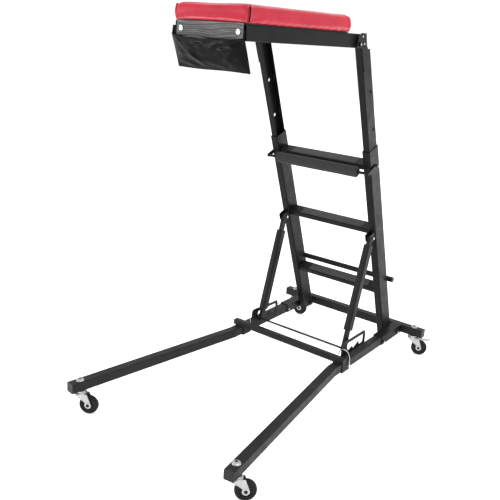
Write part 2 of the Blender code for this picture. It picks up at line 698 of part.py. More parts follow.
def build_uprights(root, mats):
    """Lipped channels that telescope in the ladder rails, open towards each other."""
    steel = mats["steel"]
    frame = ladder_axes("upright_slide", root)
    for side, s in SIDES.items():
        bm = square_tube(UPRIGHT_WIDTH, UPRIGHT_DEPTH, 2.5 * MM, 4 * MM, UPRIGHT_FOOT, UPRIGHT_TOP)
        for vert in bm.verts:
            if vert.co.z > 1 * MM + (UPRIGHT_FOOT + UPRIGHT_TOP) / 2:
                vert.co.z -= vert.co.y * tan(LEAN)
        upright = new_object(f"upright_{side}", bm, steel, frame, smooth=True)
        upright.location.x = s * LADDER_X
        near, far = sorted((-s * 11.9 * MM, -s * 20 * MM))
        lip = 29.5 * MM
        opening = prism([(near, -lip), (far, -lip), (far, lip), (near, lip)], UPRIGHT_FOOT - 0.05, UPRIGHT_TOP + 0.05)
        holes = [cylinder_x(HOLE_RADIUS, -0.03, 0.03, 16, HOLE_BACK, level) for level in HOLE_LEVELS]
        combine(upright, [opening] + holes, "DIFFERENCE")
        build_hinge_bracket(side, s, frame, steel)


def build_hinge_bracket(side, s, frame, steel):
    """Plate on the upright's outer face, with the bolt the deck folds on."""
    inner = UPRIGHT_WIDTH / 2 + GAP
    outer = inner + 3.5 * MM
    corners = [(-640, 1484), (-672, 1484), (-695, 1470), (-700, 1438), (-694, 1431), (-659, 1429),
               (-640, 1384), (-623, 1346), (-574, 1366), (-590, 1408), (-625, 1440)]
    corners = [in_ladder(Vector((0, y, z)) * MM) for y, z in corners]
    plate = side_plate([(c.y, c.z) for c in corners], *sorted((s * inner, s * outer)))
    bracket = new_object(f"deck_bracket_{side}", plate, steel, frame, smooth=True)
    bracket.location.x = s * LADDER_X
    hinge = in_ladder(HINGE)
    inner_end = DECK_RAIL_X - DECK_RAIL_WIDTH / 2 - 4 * MM - LADDER_X

    def pin(radius, start, end, steps=16):
        return cylinder_x(radius, *sorted((s * start, s * end)), steps, hinge.y, hinge.z)

    combine(bracket, [pin(DECK_PIVOT_RADIUS, inner_end, outer - 1 * MM),
                      pin(8 * MM, inner_end - 5 * MM, inner_end + 1 * MM, 6),
                      pin(8 * MM, outer - 1 * MM, outer + 5 * MM, 6)])


def build_deck(root, mats):
    frame = empty("deck_pivot", HINGE, parent=root)
    front = DECK_FRONT - HINGE.y
    yaw = atan2(DECK_TAPER, 1)
    length = -front / cos(yaw)
    middle = DECK_RAIL_Z - HINGE.z
    half_height = DECK_RAIL_HEIGHT / 2

    for side, s in SIDES.items():
        bm = square_tube(DECK_RAIL_WIDTH, DECK_RAIL_HEIGHT, 2 * MM, 3 * MM, -DECK_RAIL_TAIL, length)
        for vert in bm.verts:
            if vert.co.z > length / 2:
                vert.co.z -= vert.co.x * tan(yaw)
        bm = turn(turn(bm, "X", pi / 2), "Z", -yaw)
        if s < 0:
            bmesh.ops.transform(bm, matrix=Matrix.Scale(-1, 4, (1, 0, 0)), verts=bm.verts)
        rail = new_object(f"deck_side_rail_{side}", bm, mats["steel"], frame, smooth=True)
        rail.location = (s * DECK_RAIL_X, 0, middle)
        hole = cylinder_x(DECK_PIVOT_RADIUS + GAP, -0.04, 0.04, z=-middle)
        combine(rail, [hole], "DIFFERENCE")

    # The front rail fills the space between the side rails, with mitred ends.
    clear = DECK_RAIL_WIDTH / 2 / cos(yaw) + GAP
    tip = DECK_RAIL_X + front * DECK_TAPER - clear
    back = front + DECK_RAIL_WIDTH
    wide = tip + DECK_RAIL_WIDTH * DECK_TAPER
    outline = [(-tip, front), (tip, front), (wide, back), (-wide, back)]
    bm = prism(outline, middle - half_height, middle + half_height)
    new_object("deck_front_rail", bm, mats["steel"], frame)

    pad_back = PAD_BACK - HINGE.y
    outline = [(-PAD_FRONT_HALF, front), (PAD_FRONT_HALF, front), (PAD_BACK_HALF, pad_back),
               (-PAD_BACK_HALF, pad_back)]
    board = prism(outline, middle + half_height + GAP, PAD_BOTTOM - GAP - HINGE.z)
    new_object("deck_board", board, mats["board"], frame)

    pad = prism(outline, PAD_BOTTOM - HINGE.z, PAD_TOP - HINGE.z)
    bmesh.ops.recalc_face_normals(pad, faces=pad.faces)
    bmesh.ops.bevel(pad, geom=pad.edges[:], offset=9 * MM, segments=3, profile=0.5, affect="EDGES")
    new_object("deck_pad", pad, mats["vinyl"], frame, smooth=True)
    build_pouch(frame, front, mats["pouch"])


def build_pouch(frame, front, mat):
    """Tool pouch on the deck's front edge: back panel, sagging pocket and open mouth."""
    wall = 2.5 * MM
    depth = 32 * MM
    drift = 34 * MM                # the pocket's bottom hangs back under the deck
    face = front - GAP
    panel_top, lip, rail_low, low = 34 * MM, -10 * MM, -16 * MM, -112 * MM
    outline = [(face, panel_top), (face - wall, panel_top), (face - wall, lip),
               (face - depth, lip), (face - depth + 2 * MM, rail_low),
               (face + drift - 24 * MM, low + 4 * MM), (face + drift - 16 * MM, low),
               (face + drift - 4 * MM, low), (face + drift, low + 8 * MM), (face, rail_low)]
    plate = side_plate(outline, -POUCH_HALF, POUCH_HALF)
    pouch = new_object("tool_pouch", plate, mat, frame, smooth=True)
    pouch.location.x = POUCH_SHIFT
    cavity = [(face - wall, lip + 5 * MM), (face - depth + wall, lip + 5 * MM),
              (face - depth + 2 * MM + wall, rail_low),
              (face + drift - 22 * MM + wall, low + 8 * MM),
              (face + drift - 3 * MM - wall, low + 8 * MM), (face - wall, rail_low)]
    inside = POUCH_HALF - wall
    combine(pouch, [side_plate(cavity, -inside, inside)], "DIFFERENCE")


def main():
    clear_scene()
    mats = {
        "steel": material("black powder-coated steel", (0.022, 0.023, 0.025), 0.45, 0.2),
        "plastic": material("black plastic", (0.015, 0.015, 0.016), 0.55),
        "zinc": material("zinc-plated steel", (0.55, 0.55, 0.54), 0.35, 1.0),
        "rubber": material("black rubber", (0.018, 0.018, 0.018), 0.7),
        "foam": material("black foam", (0.02, 0.02, 0.021), 0.9),
        "vinyl": material("red vinyl", (0.62, 0.012, 0.035), 0.35),
        "board": material("painted board", (0.02, 0.02, 0.02), 0.7),
        "pouch": material("black vinyl", (0.025, 0.026, 0.028), 0.4),
    }
    root = empty("creeper", ORIGIN_SHIFT)
    build_base(root, mats)
    build_casters(root, mats)
    build_ladder(root, mats)
    build_struts(root, mats)
    build_uprights(root, mats)
    build_deck(root, mats)


main()
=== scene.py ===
"""Looks for the topside creeper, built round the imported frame."""

import json
from math import cos, hypot, pi, radians, sin, sqrt

import bmesh
import bpy
from mathutils import Matrix, Vector, noise


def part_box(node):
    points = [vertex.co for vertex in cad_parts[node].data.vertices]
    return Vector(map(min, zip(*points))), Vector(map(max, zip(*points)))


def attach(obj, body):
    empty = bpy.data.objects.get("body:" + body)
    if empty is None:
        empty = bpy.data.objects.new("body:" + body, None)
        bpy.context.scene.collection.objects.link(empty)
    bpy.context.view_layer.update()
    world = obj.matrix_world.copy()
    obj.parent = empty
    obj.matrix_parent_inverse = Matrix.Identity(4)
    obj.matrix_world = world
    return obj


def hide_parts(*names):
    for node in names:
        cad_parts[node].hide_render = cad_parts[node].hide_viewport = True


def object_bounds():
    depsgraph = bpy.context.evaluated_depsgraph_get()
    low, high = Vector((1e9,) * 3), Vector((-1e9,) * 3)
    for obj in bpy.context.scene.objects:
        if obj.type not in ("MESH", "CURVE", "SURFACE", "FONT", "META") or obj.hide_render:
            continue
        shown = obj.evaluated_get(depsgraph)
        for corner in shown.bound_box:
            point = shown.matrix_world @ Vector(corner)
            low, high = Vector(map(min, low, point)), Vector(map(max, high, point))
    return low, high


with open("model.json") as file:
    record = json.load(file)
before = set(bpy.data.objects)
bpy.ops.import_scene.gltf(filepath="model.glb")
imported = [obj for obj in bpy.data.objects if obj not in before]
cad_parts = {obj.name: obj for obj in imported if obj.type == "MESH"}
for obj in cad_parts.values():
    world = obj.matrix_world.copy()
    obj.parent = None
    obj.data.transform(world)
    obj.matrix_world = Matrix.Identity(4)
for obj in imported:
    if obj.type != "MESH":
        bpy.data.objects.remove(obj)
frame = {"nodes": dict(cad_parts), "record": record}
cad_low, cad_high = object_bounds()
NODES = frame["nodes"]

MM = 0.001
SHIFT = Vector((-17.0, 735.0, 0.0)) * MM   # from the creeper's own axes to the frame's
LEAN = radians(22.4)
LADDER_ORIGIN = (-102.0, 162.0)            # Y and Z of level 0 on the rails' centre line
LADDER_X = 228.9
STEP_LEVELS = (221.0, 561.0, 886.0)
RAIL_HALF = 17.5                           # half the width of a ladder rail
SHIN_BAR = (4.0, 873.0)                    # depth and level of the shin bar's end bolts
REAR_BAR = (37.5, 236.0)                   # depth and level of the round bar behind the ladder
BASE_RAIL_X = 270.0
TUBE_TOP = 137.0                           # upper faces of the base tubes
SHOE_HALF = 23.3                           # half the width of a foot shoe
PIVOT = (-66.0, 115.0)                     # Y and Z from here to the hinge
SHOE_BOLT = (-215.0, 112.0)
STRUT_TOP = (-360.0, 641.0)
HINGE = (-680.0, 1444.0)
UPRIGHT_HALF = 14.5                        # half the width of an upright
UPRIGHT_TOP_Z = 1427.7
LEG_BEND = (270.0, -655.0)                 # X and Y
LEG_END = (394.0, -1495.0)
STEM_SETBACK = 42.0                        # front caster stems, from the legs' ends
REAR_STEM_X = 351.0
CASTER_YAWS = {"front_left": 26, "front_right": 42, "rear_left": 6, "rear_right": 15}
CASTER_TRAIL = 36.0
WHEEL_RADIUS = 38.0


def at(x, y, z):
    """Point of the creeper's own axes, in millimetres, in the frame's metres."""
    return Vector((x, y, z)) * MM + SHIFT


def on_ladder(x, depth, level):
    """Point given across, front to back and along the ladder rails, in millimetres."""
    y = LADDER_ORIGIN[0] + depth * cos(LEAN) - level * sin(LEAN)
    z = LADDER_ORIGIN[1] + depth * sin(LEAN) + level * cos(LEAN)
    return at(x, y, z)


def placed(origin, x_axis, y_axis, z_axis):
    """Matrix with these axes at a point."""
    m = Matrix((x_axis, y_axis, z_axis)).transposed().to_4x4()
    m.translation = origin
    return m


SIDES = {"left": -1, "right": 1}
LADDER_AXES = (Vector((1, 0, 0)), Vector((0, cos(LEAN), sin(LEAN))), Vector((0, -sin(LEAN), cos(LEAN))))


# ---------------------------------------------------------------- materials

class Mat:
    """A Principled material and a few short ways to add detail to it."""

    def __init__(self, name, rough, metallic=0.0, **sockets):
        self.mat = bpy.data.materials.new(name)
        self.mat.use_nodes = True
        self.tree = self.mat.node_tree
        self.shader = self.tree.nodes["Principled BSDF"]
        self.shader.inputs["Metallic"].default_value = metallic
        self.shader.inputs["Roughness"].default_value = rough
        for key, value in sockets.items():
            self.shader.inputs[key.replace("_", " ")].default_value = value
        self.coord = self.tree.nodes.new("ShaderNodeTexCoord").outputs["Object"]
        self.normal = None

    def node(self, kind, **settings):
        made = self.tree.nodes.new(kind)
        for key, value in settings.items():
            setattr(made, key, value)
        return made

    def noise(self, scale, detail=3.0, rough=0.55, stretch=None, distortion=0.0):
        tex = self.node("ShaderNodeTexNoise")
        tex.inputs["Scale"].default_value = scale
        tex.inputs["Detail"].default_value = detail
        tex.inputs["Roughness"].default_value = rough
        tex.inputs["Distortion"].default_value = distortion
        self.tree.links.new(self.place(stretch), tex.inputs["Vector"])
        return tex.outputs["Fac"]

    def cells(self, scale, feature="F1", stretch=None, jitter=1.0):
        tex = self.node("ShaderNodeTexVoronoi", feature=feature)
        tex.inputs["Scale"].default_value = scale
        tex.inputs["Randomness"].default_value = jitter
        self.tree.links.new(self.place(stretch), tex.inputs["Vector"])
        return tex.outputs["Distance"]

    def place(self, stretch):
        if stretch is None:
            return self.coord
        mapping = self.node("ShaderNodeMapping")
        mapping.inputs["Scale"].default_value = stretch
        self.tree.links.new(self.coord, mapping.inputs["Vector"])
        return mapping.outputs["Vector"]

    def ramp(self, value, stops):
        """Colour ramp; the stops are (place, colour) pairs."""
        ramp = self.node("ShaderNodeValToRGB")
        points = ramp.color_ramp.elements
        while len(points) < len(stops):
            points.new(0.5)
        for point, (place, colour) in zip(points, stops):
            point.position = place
            point.color = (*colour, 1.0)
        self.tree.links.new(value, ramp.inputs["Fac"])
        return ramp.outputs["Color"]

    def span(self, value, low, high, out_low, out_high):
        ranged = self.node("ShaderNodeMapRange")
        for key, number in zip(("From Min", "From Max", "To Min", "To Max"),
                               (low, high, out_low, out_high)):
            ranged.inputs[key].default_value = number
        self.tree.links.new(value, ranged.inputs["Value"])
        return ranged.outputs["Result"]

    def colour(self, value, stops):
        self.tree.links.new(self.ramp(value, stops), self.shader.inputs["Base Color"])
        return self

    def rough(self, value, low, high):
        self.tree.links.new(self.span(value, 0.3, 0.7, low, high), self.shader.inputs["Roughness"])
        return self

    def bump(self, value, height_mm, strength=1.0):
        bump = self.node("ShaderNodeBump")
        bump.inputs["Distance"].default_value = height_mm * MM
        bump.inputs["Strength"].default_value = strength
        self.tree.links.new(value, bump.inputs["Height"])
        if self.normal is not None:
            self.tree.links.new(self.normal, bump.inputs["Normal"])
        self.normal = bump.outputs["Normal"]
        self.tree.links.new(self.normal, self.shader.inputs["Normal"])
        return self


def powder_coat(name, dark, light, rough=0.42):
    """Black powder coat: orange peel, faint handling marks and dust."""
    m = Mat(name, rough, 0.0, Specular_IOR_Level=0.12)
    m.colour(m.noise(7, 5, 0.6), [(0.3, dark), (0.55, light), (0.8, dark)])
    m.rough(m.noise(24, 4, 0.65), rough - 0.07, rough + 0.12)
    m.bump(m.noise(850, 2, 0.5), 0.10, 0.55)
    m.bump(m.noise(160, 2, 0.5), 0.10, 0.25)
    return m.mat


def zinc_plate(name, tint=(0.62, 0.62, 0.60), rough=0.30):
    m = Mat(name, rough, 1.0)
    darker = tuple(c * 0.72 for c in tint)
    m.colour(m.noise(60, 5, 0.7), [(0.25, darker), (0.6, tint)])
    m.rough(m.noise(140, 4, 0.6), rough - 0.06, rough + 0.16)
    m.bump(m.noise(700, 3, 0.6, stretch=(1, 1, 0.15)), 0.05, 0.5)
    return m.mat


def rubber(name):
    m = Mat(name, 0.62, 0.0, Specular_IOR_Level=0.2)
    m.colour(m.noise(50, 4, 0.6), [(0.3, (0.004, 0.004, 0.004)), (0.75, (0.010, 0.010, 0.010))])
    m.rough(m.noise(90, 3), 0.52, 0.75)
    m.bump(m.noise(1300, 3, 0.6), 0.12, 0.6)
    return m.mat


def plastic(name):
    m = Mat(name, 0.5, 0.0, Specular_IOR_Level=0.3)
    m.colour(m.noise(40, 3), [(0.3, (0.006, 0.006, 0.006)), (0.8, (0.012, 0.012, 0.012))])
    m.rough(m.noise(70, 3), 0.42, 0.6)
    m.bump(m.cells(1500), 0.08, 0.5)
    return m.mat


def foam(name):
    """Closed-cell foam: matt skin with open pores, painted darker inside as shade."""
    m = Mat(name, 0.9, 0.0, Specular_IOR_Level=0.15, Sheen_Weight=0.04)
    # colour is darkest at the cell centres, where the same cells sink the bump: painted shade in the pores
    m.colour(m.cells(900), [(0.0, (0.004, 0.004, 0.004)), (0.45, (0.034, 0.034, 0.034))])
    m.bump(m.cells(900), 0.35, 0.8)
    m.bump(m.noise(220, 4, 0.7), 0.5, 0.5)
    return m.mat


def vinyl(name, deep, main, bright, rough, grain=620.0, wrinkle=0.5, coat=0.0, level=0.5):
    """Grained upholstery vinyl: pebbled cells, fine pores and soft stretch marks."""
    m = Mat(name, rough, 0.0, Coat_Weight=coat, Coat_Roughness=0.25, Specular_IOR_Level=level)
    m.colour(m.noise(14, 5, 0.6), [(0.25, deep), (0.5, main), (0.8, bright)])
    m.rough(m.noise(60, 4, 0.6), rough - 0.06, rough + 0.1)
    m.bump(m.noise(38, 3, 0.55, distortion=0.6), 1.6, wrinkle * 0.5)
    m.bump(m.cells(grain, "SMOOTH_F1"), 0.22, 0.55)
    m.bump(m.noise(2100, 2, 0.6), 0.06, 0.5)
    return m.mat


def grip_tape(name):
    """Mineral-grit tread: dark with tiny bright grains."""
    m = Mat(name, 0.85, 0.0, Specular_IOR_Level=0.2)
    m.colour(m.noise(1500, 2, 0.7), [(0.40, (0.030, 0.030, 0.031)), (0.62, (0.080, 0.080, 0.082)),
                                     (0.74, (0.16, 0.16, 0.16))])
    m.bump(m.cells(1100), 0.5, 0.9)
    m.bump(m.noise(420, 3, 0.7), 0.25, 0.5)
    return m.mat


def painted_board(name):
    m = Mat(name, 0.65, 0.0, Specular_IOR_Level=0.2)
    m.colour(m.noise(30, 4, 0.6, stretch=(1, 8, 1)),
             [(0.3, (0.015, 0.015, 0.015)), (0.8, (0.03, 0.03, 0.03))])
    m.bump(m.noise(160, 4, 0.7, stretch=(1, 8, 1)), 0.2, 0.5)
    return m.mat


STEEL = powder_coat("black powder coat", (0.007, 0.0071, 0.0073), (0.011, 0.0111, 0.0113))
# darker and lighter copies of the same black coat: the darker one is painted shade on the uprights, ladder
# rails, brackets, axle nuts and stem inserts, the lighter one is painted light on the flat base tubes
STEEL_SHADED = powder_coat("black powder coat, painted shade", (0.004, 0.004, 0.0042), (0.007, 0.007, 0.0072),
                         0.40)
STEEL_LIT = powder_coat("black powder coat, painted light", (0.010, 0.0101, 0.0103), (0.016, 0.0161, 0.0163))
ZINC = zinc_plate("zinc plate", (0.47, 0.47, 0.46), 0.34)
BRIGHT = zinc_plate("bright zinc", (0.80, 0.80, 0.79), 0.20)
NICKEL = zinc_plate("nickel snap", (0.92, 0.92, 0.90), 0.14)
RUBBER = rubber("caster rubber")
HUB = plastic("hub plastic")
PLASTIC = plastic("plug plastic")
FOAM = foam("roll foam")
RED = vinyl("red vinyl", (0.36, 0.002, 0.017), (0.42, 0.003, 0.022), (0.48, 0.006, 0.028), 0.34,
            wrinkle=0.3, coat=0.05, level=0.46)
SEAM = vinyl("red vinyl fold", (0.34, 0.002, 0.012), (0.42, 0.004, 0.018), (0.5, 0.006, 0.024), 0.4)
# near-black vinyl for the tube laid in the pad's corner gap as painted shadow
PAD_GAP_SHADOW = vinyl("red vinyl shadow", (0.02, 0.001, 0.001), (0.03, 0.001, 0.002), (0.05, 0.002, 0.003), 0.7,
                 level=0.1)
POUCH = vinyl("black vinyl", (0.0015, 0.0015, 0.0016), (0.0025, 0.0025, 0.0026), (0.004, 0.004, 0.0041), 0.27,
              wrinkle=0.6, level=0.07)
FLAP = vinyl("grey vinyl", (0.036, 0.036, 0.037), (0.058, 0.059, 0.060), (0.086, 0.086, 0.087), 0.40,
             wrinkle=0.7, level=0.5)
THREAD = powder_coat("stitch thread", (0.02, 0.02, 0.02), (0.05, 0.05, 0.05), 0.8)
TAPE = grip_tape("grip tape")
BOARD = painted_board("deck panel paint")


def finish_nodes():
    """Every CAD node that stays visible gets its own detailed material."""
    by_slot = {"black_steel": STEEL, "zinc": ZINC, "wheel_rubber": RUBBER, "plug_plastic": PLASTIC,
               "roll_foam": FOAM, "pad_vinyl": RED, "pouch_vinyl": POUCH, "deck_panel": BOARD}
    # one black coat throughout: these parts get its darker copy as painted shade, the base tubes below get
    # its lighter copy as painted light on their tops
    dark = ("angle_rack", "leg_socket", "strut_clevis", "foot_shoe", "deck_bracket", "ladder_rail",
            "upright")
    lit_parts = ("front_leg", "rear_cross_tube", "front_cross_tube", "base_rail")
    for row in frame["record"]["subparts"]:
        name = row["node"]
        mat = by_slot[row["material_slot"]]
        if name.startswith(dark):
            mat = STEEL_SHADED
        if name.startswith(lit_parts):
            mat = STEEL_LIT
        if name.startswith(("leg_pin", "leg_pin_bail")):
            mat = BRIGHT
        obj = NODES[name]
        obj.data.materials.clear()
        obj.data.materials.append(mat)
        edge = obj.modifiers.new("edge", "BEVEL")
        edge.width = 0.8 * MM
        edge.segments = 2
        edge.limit_method = "ANGLE"
        edge.angle_limit = radians(55)
        edge.harden_normals = False


# ---------------------------------------------------------------- mesh helpers

def piece(name, bm, mat, body, matrix=None, smooth=True, angle=35):
    """Object from a bmesh, riding on a body. matrix places it first; mat is its material."""
    if matrix is not None:
        bmesh.ops.transform(bm, matrix=matrix, verts=bm.verts)
    bmesh.ops.recalc_face_normals(bm, faces=bm.faces)
    mesh = bpy.data.meshes.new(name)
    bm.to_mesh(mesh)
    bm.free()
    if smooth:
        mesh.shade_smooth()
        mesh.set_sharp_from_angle(angle=radians(angle))
    mesh.materials.append(mat)
    obj = bpy.data.objects.new(name, mesh)
    bpy.context.scene.collection.objects.link(obj)
    if body is not None:
        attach(obj, body)
    return obj


def ring(bm, centre, u, v, radius, steps):
    """Circle of vertices in the plane of u and v."""
    angles = [2 * pi * k / steps for k in range(steps)]
    return [bm.verts.new(centre + u * radius * cos(a) + v * radius * sin(a)) for a in angles]


def flat_ring(bm, radius, z, steps):
    """Circle of vertices about Z."""
    return ring(bm, Vector((0, 0, z)), Vector((1, 0, 0)), Vector((0, 1, 0)), radius, steps)


def skin(bm, rings, closed=False):
    """Faces between neighbouring rings of vertices."""
    pairs = list(zip(rings, rings[1:]))
    if closed:
        pairs.append((rings[-1], rings[0]))
    for low, high in pairs:
        for k in range(len(low)):
            j = (k + 1) % len(low)
            bm.faces.new((low[k], low[j], high[j], high[k]))


def grid_faces(bm, rows):
    """Faces between neighbouring open rows of vertices."""
    for a, b in zip(rows, rows[1:]):
        for k in range(len(a) - 1):
            bm.faces.new((a[k], a[k + 1], b[k + 1], b[k]))


def lathe(profile, steps=40, closed=False):
    """Turned about Z. Profile points are (radius, height) in metres; caps are added when open."""
    bm = bmesh.new()
    rings = [flat_ring(bm, r, z, steps) for r, z in profile]
    skin(bm, rings, closed)
    if not closed:
        bm.faces.new(rings[0][::-1])
        bm.faces.new(rings[-1])
    return bm


def tube(points, radius, steps=10, ripple=0.0, pitch=4.0, flat=1.0):
    """Closed tube along points. ripple swells it every pitch millimetres, like a weld bead."""
    bm = bmesh.new()
    rings = []
    side = None
    run = 0.0
    for i, p in enumerate(points):
        ahead = (points[min(i + 1, len(points) - 1)] - points[max(i - 1, 0)]).normalized()
        if side is None:
            side = ahead.orthogonal().normalized()
        side = (side - ahead * side.dot(ahead)).normalized()
        other = ahead.cross(side)
        if i:
            run += (p - points[i - 1]).length / MM
        r = radius * (1 + ripple * abs(sin(pi * run / pitch)))
        rings.append(ring(bm, p, side, other * flat, r, steps))
    skin(bm, rings)
    bm.faces.new(rings[0][::-1])
    bm.faces.new(rings[-1])
    return bm


def along(a, b, spacing=1.6):
    """Points from a to b."""
    count = max(2, int((b - a).length / MM / spacing))
    return [a.lerp(b, k / count) for k in range(count + 1)]


def facing(point, direction):
    """Matrix at a point with Z along a direction."""
    z_axis = direction.normalized()
    x_axis = z_axis.orthogonal().normalized()
    return placed(point, x_axis, z_axis.cross(x_axis), z_axis)


def rounded_box(size, bevel, segments=3):
    bm = bmesh.new()
    bmesh.ops.create_cube(bm, size=1.0)
    bmesh.ops.scale(bm, vec=size, verts=bm.verts)
    bmesh.ops.bevel(bm, geom=bm.edges[:], offset=bevel, segments=segments, profile=0.5, affect="EDGES")
    return bm


# ---------------------------------------------------------------- fasteners and welds

def hex_bolt(name, tip, direction, body, radius, height, washer, mat):
    """Hex head on a washer. tip is the point on the surface it sits on."""
    bm = bmesh.new()
    wash = radius * washer
    base = 1.2 * MM
    rings = [flat_ring(bm, r, z, 36) for r, z in
             ((wash, 0.0), (wash, 0.9 * MM), (wash - 0.4 * MM, base), (radius * 0.8, base))]
    head = [flat_ring(bm, r, z, 6) for r, z in
            ((radius * 0.97, base), (radius, base + 0.4 * MM), (radius, height - 0.8 * MM),
             (radius * 0.9, height))]
    for stack in (rings, head):
        skin(bm, stack)
        bm.faces.new(stack[0][::-1])
        bm.faces.new(stack[-1])
    return piece(name, bm, mat, body, facing(tip, direction), angle=30)


def dome_bolt(name, tip, direction, body, radius, height, mat=ZINC):
    """Round-headed bolt or rivet."""
    rim = 0.15                                 # share of the height that is upright
    profile = [(radius, 0.0), (radius, height * rim)]
    for k in range(1, 7):
        a = pi / 2 * k / 7
        profile.append((radius * cos(a), height * (rim + (1 - rim) * sin(a))))
    return piece(name, lathe(profile, 28), mat, body, facing(tip, direction))


def weld(name, a, b, body, radius=2.2):
    """Painted-over weld bead from a to b."""
    bm = tube(along(a, b, 1.2), radius * MM, 8, ripple=0.32, pitch=4.5)
    return piece(name, bm, STEEL, body, angle=60)


def build_fasteners():
    shoe_head = 5.8                            # heads of the CAD bolts, past the plate they clamp
    hinge_head = 5.0
    plate_out = UPRIGHT_HALF + 0.3 + 3.5       # hinge plate's outer face
    for side, s in SIDES.items():
        out = Vector((s, 0, 0))
        for label, place in (("pivot", PIVOT), ("clamp", SHOE_BOLT)):
            tip = at(s * (BASE_RAIL_X + SHOE_HALF + shoe_head), *place)
            dome_bolt(f"shoe_{label}_bolt_{side}", tip, out, "base", 6.2 * MM, 2.4 * MM)
        tip = at(s * (BASE_RAIL_X - SHOE_HALF), *SHOE_BOLT)
        dome_bolt(f"shoe_clamp_end_{side}", tip, -out, "base", 6.0 * MM, 3.0 * MM)
        for face, label in ((13, "outer"), (-13, "inner")):
            tip = on_ladder(s * LADDER_X + face, *ladder_place(*STRUT_TOP))
            hex_bolt(f"clevis_bolt_{label}_{side}", tip, Vector((face, 0, 0)), "ladder", 6.6 * MM, 6.0 * MM,
                     1.15, ZINC)
        plate_face = s * (LADDER_X + plate_out)
        tip = at(plate_face + s * hinge_head, *HINGE)
        dome_bolt(f"deck_pivot_bolt_{side}", tip, out, "uprights", 4.6 * MM, 2.2 * MM)
        for k, (y, z) in enumerate(((-664, 1472), (-648, 1447)), start=1):
            tip = at(plate_face, y, z)
            dome_bolt(f"deck_lock_bolt_{k}_{side}", tip, out, "uprights", 4.2 * MM, 2.6 * MM)
        tip = on_ladder(s * (LADDER_X + RAIL_HALF + 10.3), *SHIN_BAR)
        dome_bolt(f"shin_bar_bolt_{side}", tip, out, "ladder", 5 * MM, 3 * MM)
        tip = at(s * (BASE_RAIL_X - 24.3), -517, 166)
        dome_bolt(f"rack_bolt_{side}", tip, -out, "base", 6.5 * MM, 3 * MM, STEEL)


def ladder_place(y, z):
    """Depth and level of a point of the creeper's own axes."""
    dy, dz = y - LADDER_ORIGIN[0], z - LADDER_ORIGIN[1]
    return dy * cos(LEAN) + dz * sin(LEAN), -dy * sin(LEAN) + dz * cos(LEAN)


def build_welds():
    for side, s in SIDES.items():
        inner, outer = s * (BASE_RAIL_X - 20), s * (BASE_RAIL_X + 20)
        weld(f"weld_rear_inner_{side}", at(inner, -21, 99), at(inner, -21, 135), "base")
        weld(f"weld_rear_outer_{side}", at(outer, -21, 101), at(outer, -21, 135), "base")
        ends = at(inner + s * 2, -21.5, TUBE_TOP + 1), at(outer - s * 2, -21.5, TUBE_TOP + 1)
        weld(f"weld_rear_top_{side}", *ends, "base", 1.8)
        for k, y in enumerate((-614.5, -583.5), start=1):
            ends = at(s * 251, y, TUBE_TOP + 1.3), at(s * 284, y, TUBE_TOP + 1.3)
            weld(f"weld_cross_{k}_{side}", *ends, "base", 2.0)
        for k, y in enumerate((-470, -400, -340), start=1):
            ends = at(s * 246.5, y - 12, TUBE_TOP + 0.5), at(s * 246.5, y + 12, TUBE_TOP + 0.5)
            weld(f"weld_rack_{k}_{side}", *ends, "base", 1.9)

        front, back, z = -658, -590, UPRIGHT_TOP_Z + 0.6
        ends = at(s * LADDER_X - 13, front, z), at(s * LADDER_X + 13, front, z)
        weld(f"weld_upright_front_{side}", *ends, "uprights", 1.2)
        edge = s * (LADDER_X + 13.3)
        weld(f"weld_upright_side_{side}", at(edge, front, z), at(edge, back, z), "uprights", 1.2)

        rail_face = s * (LADDER_X - RAIL_HALF) - s * 1.2
        for n, level in enumerate(STEP_LEVELS, start=1):
            for k, z in enumerate((level + 0.3, level - 22.3), start=1):
                ends = on_ladder(rail_face, -25, z), on_ladder(rail_face, 25, z)
                weld(f"weld_step_{n}_{k}_{side}", *ends, "ladder", 1.9)
        bar = on_ladder(s * LADDER_X, *REAR_BAR)
        pts = [bar + LADDER_AXES[0] * MM * 12 * cos(a) + LADDER_AXES[2] * MM * 9 * sin(a)
               for a in [2 * pi * k / 36 for k in range(37)]]
        bead = tube(pts, 1.8 * MM, 8, 0.3, 4.5)
        piece(f"weld_rear_bar_{side}", bead, STEEL, "ladder", angle=60)


# ---------------------------------------------------------------- casters

def caster_places():
    """X and Y of each caster's stem."""
    run = Vector((LEG_END[0] - LEG_BEND[0], LEG_END[1] - LEG_BEND[1])).normalized()
    stem = Vector(LEG_END) - run * STEM_SETBACK
    return {"front_left": (-stem.x, stem.y), "front_right": (stem.x, stem.y),
            "rear_left": (-REAR_STEM_X, 0.0), "rear_right": (REAR_STEM_X, 0.0)}


